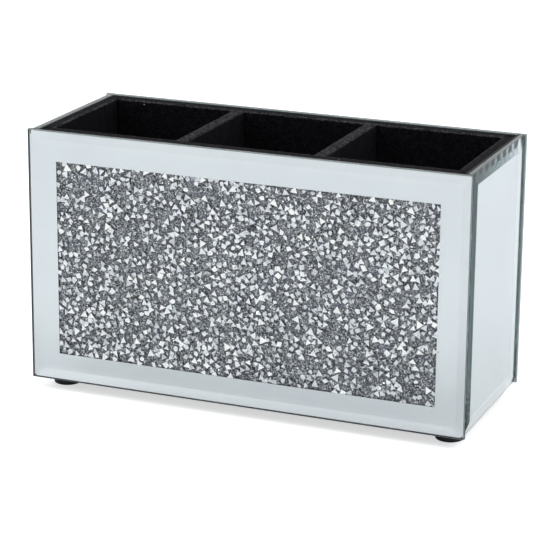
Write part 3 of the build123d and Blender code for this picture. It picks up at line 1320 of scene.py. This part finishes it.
    def columns(self, inner: float, cuts: Sequence[tuple[float, ...]]) -> list[float]:
        """Divides a wall's length so that cuts fall between columns.

        Args:
            inner: Half the length to divide.
            cuts: The start and end of each cut.

        Returns:
            The places of the columns.
        """
        marks = [-inner] + [place for cut in cuts for place in cut] + [inner]
        places = [-inner]
        for start, end in zip(marks, marks[1:]):
            places += steps_between(start, end, self.step)[1:]
        return places

    def build_divider(self, side: Side) -> None:
        """Builds the felt folded over one divider.

        Args:
            side: LEFT or RIGHT.
        """
        node = f"{side.label}_divider_felt"
        low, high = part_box(node)
        middle, half, fold = (low.x + high.x) / 2, (high.x - low.x) / 2, self.rim_round
        rising = [(-half, z) for z in steps_between(low.z, high.z - fold, self.wall_step)[:-1]]
        rising += [
            (-half + fold * (1 - cos), high.z - fold * (1 - sin)) for cos, sin in quarter_turn(ROUND_FLATS)
        ]
        across = [(d, high.z) for d in steps_between(-half + fold, half - fold, self.rim_step)[1:-1]]
        profile = rising + across + [(-d, z) for d, z in reversed(rising)]
        columns = steps_between(low.y - self.overlap, high.y + self.overlap, self.step)
        rows = [[Vector((middle + d, y, z)) for y in columns] for d, z in reversed(profile)]
        # The divider's top is lightened: dust in the nap, and painted sheen on the top.
        rubbed = [self.divider_dust_and_sheen * (high.z - z < fold / 2) for _, z in profile]
        self.grid_piece(node, rows, rubbed, Held.FOLDED)

    def build_floor(self, label: str) -> None:
        """Builds the felt laid on one compartment's floor.

        Args:
            label: The compartment's name.
        """
        node = f"{label}_floor_felt"
        low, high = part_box(node)
        across = steps_between(low.x, high.x, self.floor_step)
        deep = steps_between(low.y, high.y, self.floor_step)
        rows = [[Vector((x, y, high.z)) for x in across] for y in deep]
        # The floor is lightened all over, as painted light in its shade.
        self.grid_piece(node, rows, [self.floor_painted_light] * len(rows), Held.LAID)

    def build(self) -> None:
        """Builds every piece of the lining."""
        for side in Side:
            self.build_wall(side)
        for side in (Side.LEFT, Side.RIGHT):
            self.build_divider(side)
        for label in ("left", "middle", "right"):
            self.build_floor(label)


@dataclass
class WoodenBox:
    """The fibreboard box that carries the glass and the felt."""

    board: Finish = FIBREBOARD
    nodes: tuple[str, ...] = (
        "base_board", "front_board", "back_board", "left_board", "right_board",
        "left_divider", "right_divider",
    )

    def dress(self) -> None:
        """Gives each board of the frame its finish."""
        for name in self.nodes:
            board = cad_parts[name]
            board.data.materials.clear()
            board.data.materials.append(self.board.material())
            LOG.info("%s: dressed as %s", name, self.board.label)


@dataclass
class Underside:
    """The backing sheet under the base, and the four rubber feet.

    Attributes:
        sheet_step: The distance between the sheet's mesh points.
        sheet_stand: How unevenly the sheet lies.
        sheet_waves: How far apart its fine and coarse waves lie.
        sheet_share: The sheet's thickness as a share of the room for it.
        foot_round: The radius of a foot's lower edge.
        foot_flare: How much wider a foot is above than at its tread.
        top_round: The radius of its upper edge.
        dimple_radius: The radius of the mould's dimple in the tread.
        dimple_depth: How deep the dimple is.
        dimple_floor: The width of its floor as a share of its own.
        dimple_lip: How high the lip round the dimple starts.
        dimple_flare: How far the lip runs out.
        turns: How many flats a foot's round is divided into.
    """

    cloth: Finish = BackingCloth()
    rubber: Finish = MOULDED_RUBBER
    sheet_step: float = 3.0 * MM
    sheet_stand: float = 0.04 * MM
    sheet_waves: tuple[float, float] = (6.0 * MM, 20.0 * MM)
    sheet_share: float = 0.8
    foot_round: float = 0.4 * MM
    foot_flare: float = 0.2 * MM
    top_round: float = 0.35 * MM
    dimple_radius: float = 1.8 * MM
    dimple_depth: float = 0.6 * MM
    dimple_floor: float = 0.8
    dimple_lip: float = 0.1 * MM
    dimple_flare: float = 0.25 * MM
    turns: int = 56
    corners: tuple[str, ...] = ("front_left", "front_right", "back_left", "back_right")

    def build_sheet(self) -> None:
        """Builds the backing sheet."""
        low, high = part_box("base_cover")
        across = steps_between(low.x, high.x, self.sheet_step)
        deep = steps_between(low.y, high.y, self.sheet_step)
        # The rows run from back to front, so that the faces look down.
        points = [Vector((x, y, low.z)) for y in reversed(deep) for x in across]
        for point in points:
            point.z += self.sheet_stand * (1 + uneven(point, *self.sheet_waves))
        mesh = mesh_from("base_sheet", points, grid_faces(len(deep), len(across)))
        mesh.shade_smooth()
        piece = new_object("base_sheet", mesh, self.cloth)
        thicken(piece, self.sheet_share * (high.z - low.z))
        register(piece, "backing_cloth", "base_cover")

    def build_foot(self, corner: str) -> None:
        """Turns one foot from its profile.

        Args:
            corner: The corner that the foot stands under.
        """
        low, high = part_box(f"{corner}_foot")
        centre, radius = (low + high) / 2, (high.x - low.x) / 2
        tread, dimple = radius - self.foot_flare, self.dimple_radius
        edge, top = self.foot_round, self.top_round
        profile = [
            (0.0, low.z + self.dimple_depth), (dimple * self.dimple_floor, low.z + self.dimple_depth),
            (dimple, low.z + self.dimple_lip), (dimple + self.dimple_flare, low.z),
        ]
        profile += [
            (tread - edge * (1 - sin), low.z + edge * (1 - cos)) for cos, sin in quarter_turn(ROUND_FLATS)
        ]
        profile += [
            (radius - top * (1 - cos), high.z - top * (1 - sin)) for cos, sin in quarter_turn(FINE_FLATS)
        ]
        profile.append((0.0, high.z))
        made = bmesh.new()
        line = [made.verts.new((centre.x + r, centre.y, z)) for r, z in profile]
        edges = [made.edges.new(pair) for pair in zip(line, line[1:])]
        bmesh.ops.spin(
            made, geom=line + edges, cent=(centre.x, centre.y, 0.0), axis=(0.0, 0.0, 1.0), angle=math.tau,
            steps=self.turns, use_duplicate=False,
        )
        bmesh.ops.remove_doubles(made, verts=made.verts, dist=WELD)
        bmesh.ops.dissolve_degenerate(made, edges=made.edges, dist=WELD / 2)
        mesh = mesh_of(f"{corner}_pad", made)
        mesh.shade_smooth()
        piece = new_object(f"{corner}_pad", mesh, self.rubber)
        register(piece, "rubber", f"{corner}_foot")

    def build(self) -> None:
        """Builds the sheet and the feet."""
        self.build_sheet()
        for corner in self.corners:
            self.build_foot(corner)


@dataclass(frozen=True)
class Lamp:
    """A round soft lamp that looks at the object.

    Attributes:
        name: The lamp's name.
        place: Where it hangs.
        power: Its power in watts.
        size: Its diameter.
    """

    name: str
    place: Point
    power: float
    size: float = 1.0

    def hang(self) -> None:
        """Hangs the lamp in its place."""
        lamp = bpy.data.lights.new(self.name, "AREA")
        lamp.shape = "DISK"
        lamp.size = self.size
        lamp.energy = self.power
        holder = bpy.data.objects.new(self.name, lamp)
        holder.location = self.place
        holder.rotation_euler = (-Vector(self.place)).to_track_quat("-Z", "Y").to_euler()
        bpy.context.scene.collection.objects.link(holder)


@dataclass
class Studio:
    """The white floor, the soft lights and the camera.

    Attributes:
        azimuth: The camera's turn round the object, in degrees.
        elevation: The camera's height above the level, in degrees.
        roll: The camera's roll, in degrees.
        lens: The lens, in millimetres.
        sensor: The sensor's width, in millimetres.
        eye: The camera's place in metres.
        nearest: How near the camera sees.
        floor_half: Half the floor's width.
        sky: How strongly the sky lights matt surfaces. To the eye, in mirrors and through glass it is white.
        bounces: How often light bounces at most.
        glass_bounces: How often it bounces off or through glass and silver.
        clear_bounces: How many see-through surfaces it passes.
    """

    paper: Finish = StudioPaper()
    azimuth: float = 21.990
    elevation: float = 16.854
    roll: float = 0.4825
    lens: float = 153.34
    sensor: float = 36.0
    eye: Point = (0.3940, -0.9834, 0.3821)
    nearest: float = 0.01
    floor_half: float = 4.0
    sky: float = 0.48
    sky_colour: str = "#F6FAFF"
    lamps: tuple[Lamp, ...] = (
        Lamp("key_lamp", (0.1, 1.0, 1.35), 8.6),
        Lamp("fill_lamp", (1.2, -0.5, 1.2), 10.0),
        Lamp("side_lamp", (-1.1, -0.5, 0.9), 5.6),
    )
    bounces: int = 40
    glass_bounces: int = 32
    clear_bounces: int = 16

    def lay_floor(self) -> None:
        """Lays the studio floor."""
        half = self.floor_half
        corners = [(-half, -half, 0.0), (half, -half, 0.0), (half, half, 0.0), (-half, half, 0.0)]
        mesh = mesh_from("studio_floor", corners, [(0, 1, 2, 3)])
        new_object("studio_floor", mesh, self.paper)

    def hang_lights(self) -> None:
        """Lights the studio with a white sky and soft lamps."""
        world = bpy.data.worlds.new("white_sky")
        world.use_nodes = True
        tree = world.node_tree
        tree.nodes.clear()
        path = add_node(tree, "ShaderNodeLightPath").outputs
        seen = add_node(tree, "ShaderNodeMath", {
            0: path["Is Camera Ray"], 1: path["Is Glossy Ray"],
        }, operation="MAXIMUM")
        through = add_node(tree, "ShaderNodeMath", {
            0: seen, 1: path["Is Transmission Ray"],
        }, operation="MAXIMUM")
        level = add_node(tree, "ShaderNodeMapRange", {"Value": through, "To Min": self.sky, "To Max": 1.0})
        colour = add_node(tree, "ShaderNodeMix", {
            0: through, 6: linear(self.sky_colour), 7: linear(WHITE),
        }, data_type="RGBA")
        sky = add_node(tree, "ShaderNodeBackground", {"Color": colour.outputs[2], "Strength": level})
        add_node(tree, "ShaderNodeOutputWorld", {"Surface": sky})
        bpy.context.scene.world = world
        for lamp in self.lamps:
            lamp.hang()

    def set_camera(self) -> None:
        """Sets the camera at the photograph's angle."""
        turn, rise, roll = (math.radians(a) for a in (self.azimuth, self.elevation, self.roll))
        back = Vector((math.sin(turn) * math.cos(rise), -math.cos(turn) * math.cos(rise), math.sin(rise)))
        right = Vector((math.cos(turn), math.sin(turn), 0.0))
        up = back.cross(right)
        across = right * math.cos(roll) + up * math.sin(roll)
        above = up * math.cos(roll) - right * math.sin(roll)
        camera = bpy.data.cameras.new("camera")
        camera.lens = self.lens
        camera.sensor_width = self.sensor
        camera.clip_start = self.nearest
        holder = bpy.data.objects.new("camera", camera)
        turned = Matrix((across, above, back)).transposed().to_4x4()
        holder.matrix_world = Matrix.Translation(self.eye) @ turned
        bpy.context.scene.collection.objects.link(holder)
        bpy.context.scene.camera = holder

    def set_bounces(self) -> None:
        """Lets light bounce often enough to run along inside the glass."""
        cycles = bpy.context.scene.cycles
        cycles.max_bounces = self.bounces
        cycles.glossy_bounces = self.glass_bounces
        cycles.transmission_bounces = self.glass_bounces
        cycles.transparent_max_bounces = self.clear_bounces
        bpy.context.scene.view_settings.view_transform = "Standard"

    def build(self) -> None:
        """Builds the whole studio."""
        self.lay_floor()
        self.hang_lights()
        self.set_camera()
        self.set_bounces()


def main() -> None:
    """Builds the studio and every sub-assembly in order."""
    logging.basicConfig(level=logging.INFO, format="%(name)s %(message)s")
    Studio().build()
    WoodenBox().dress()
    MirrorPanel(Side.FRONT, sealer=EDGE_SEAL, window_lap=WINDOW_LAP).build()
    MirrorPanel(Side.RIGHT, sealer=EDGE_SEAL).build()
    for side in (Side.BACK, Side.LEFT):
        MirrorPanel(side).build()
    CrystalInlay().build()
    FeltLining().build()
    Underside().build()


if __name__ == "__main__":
    main()
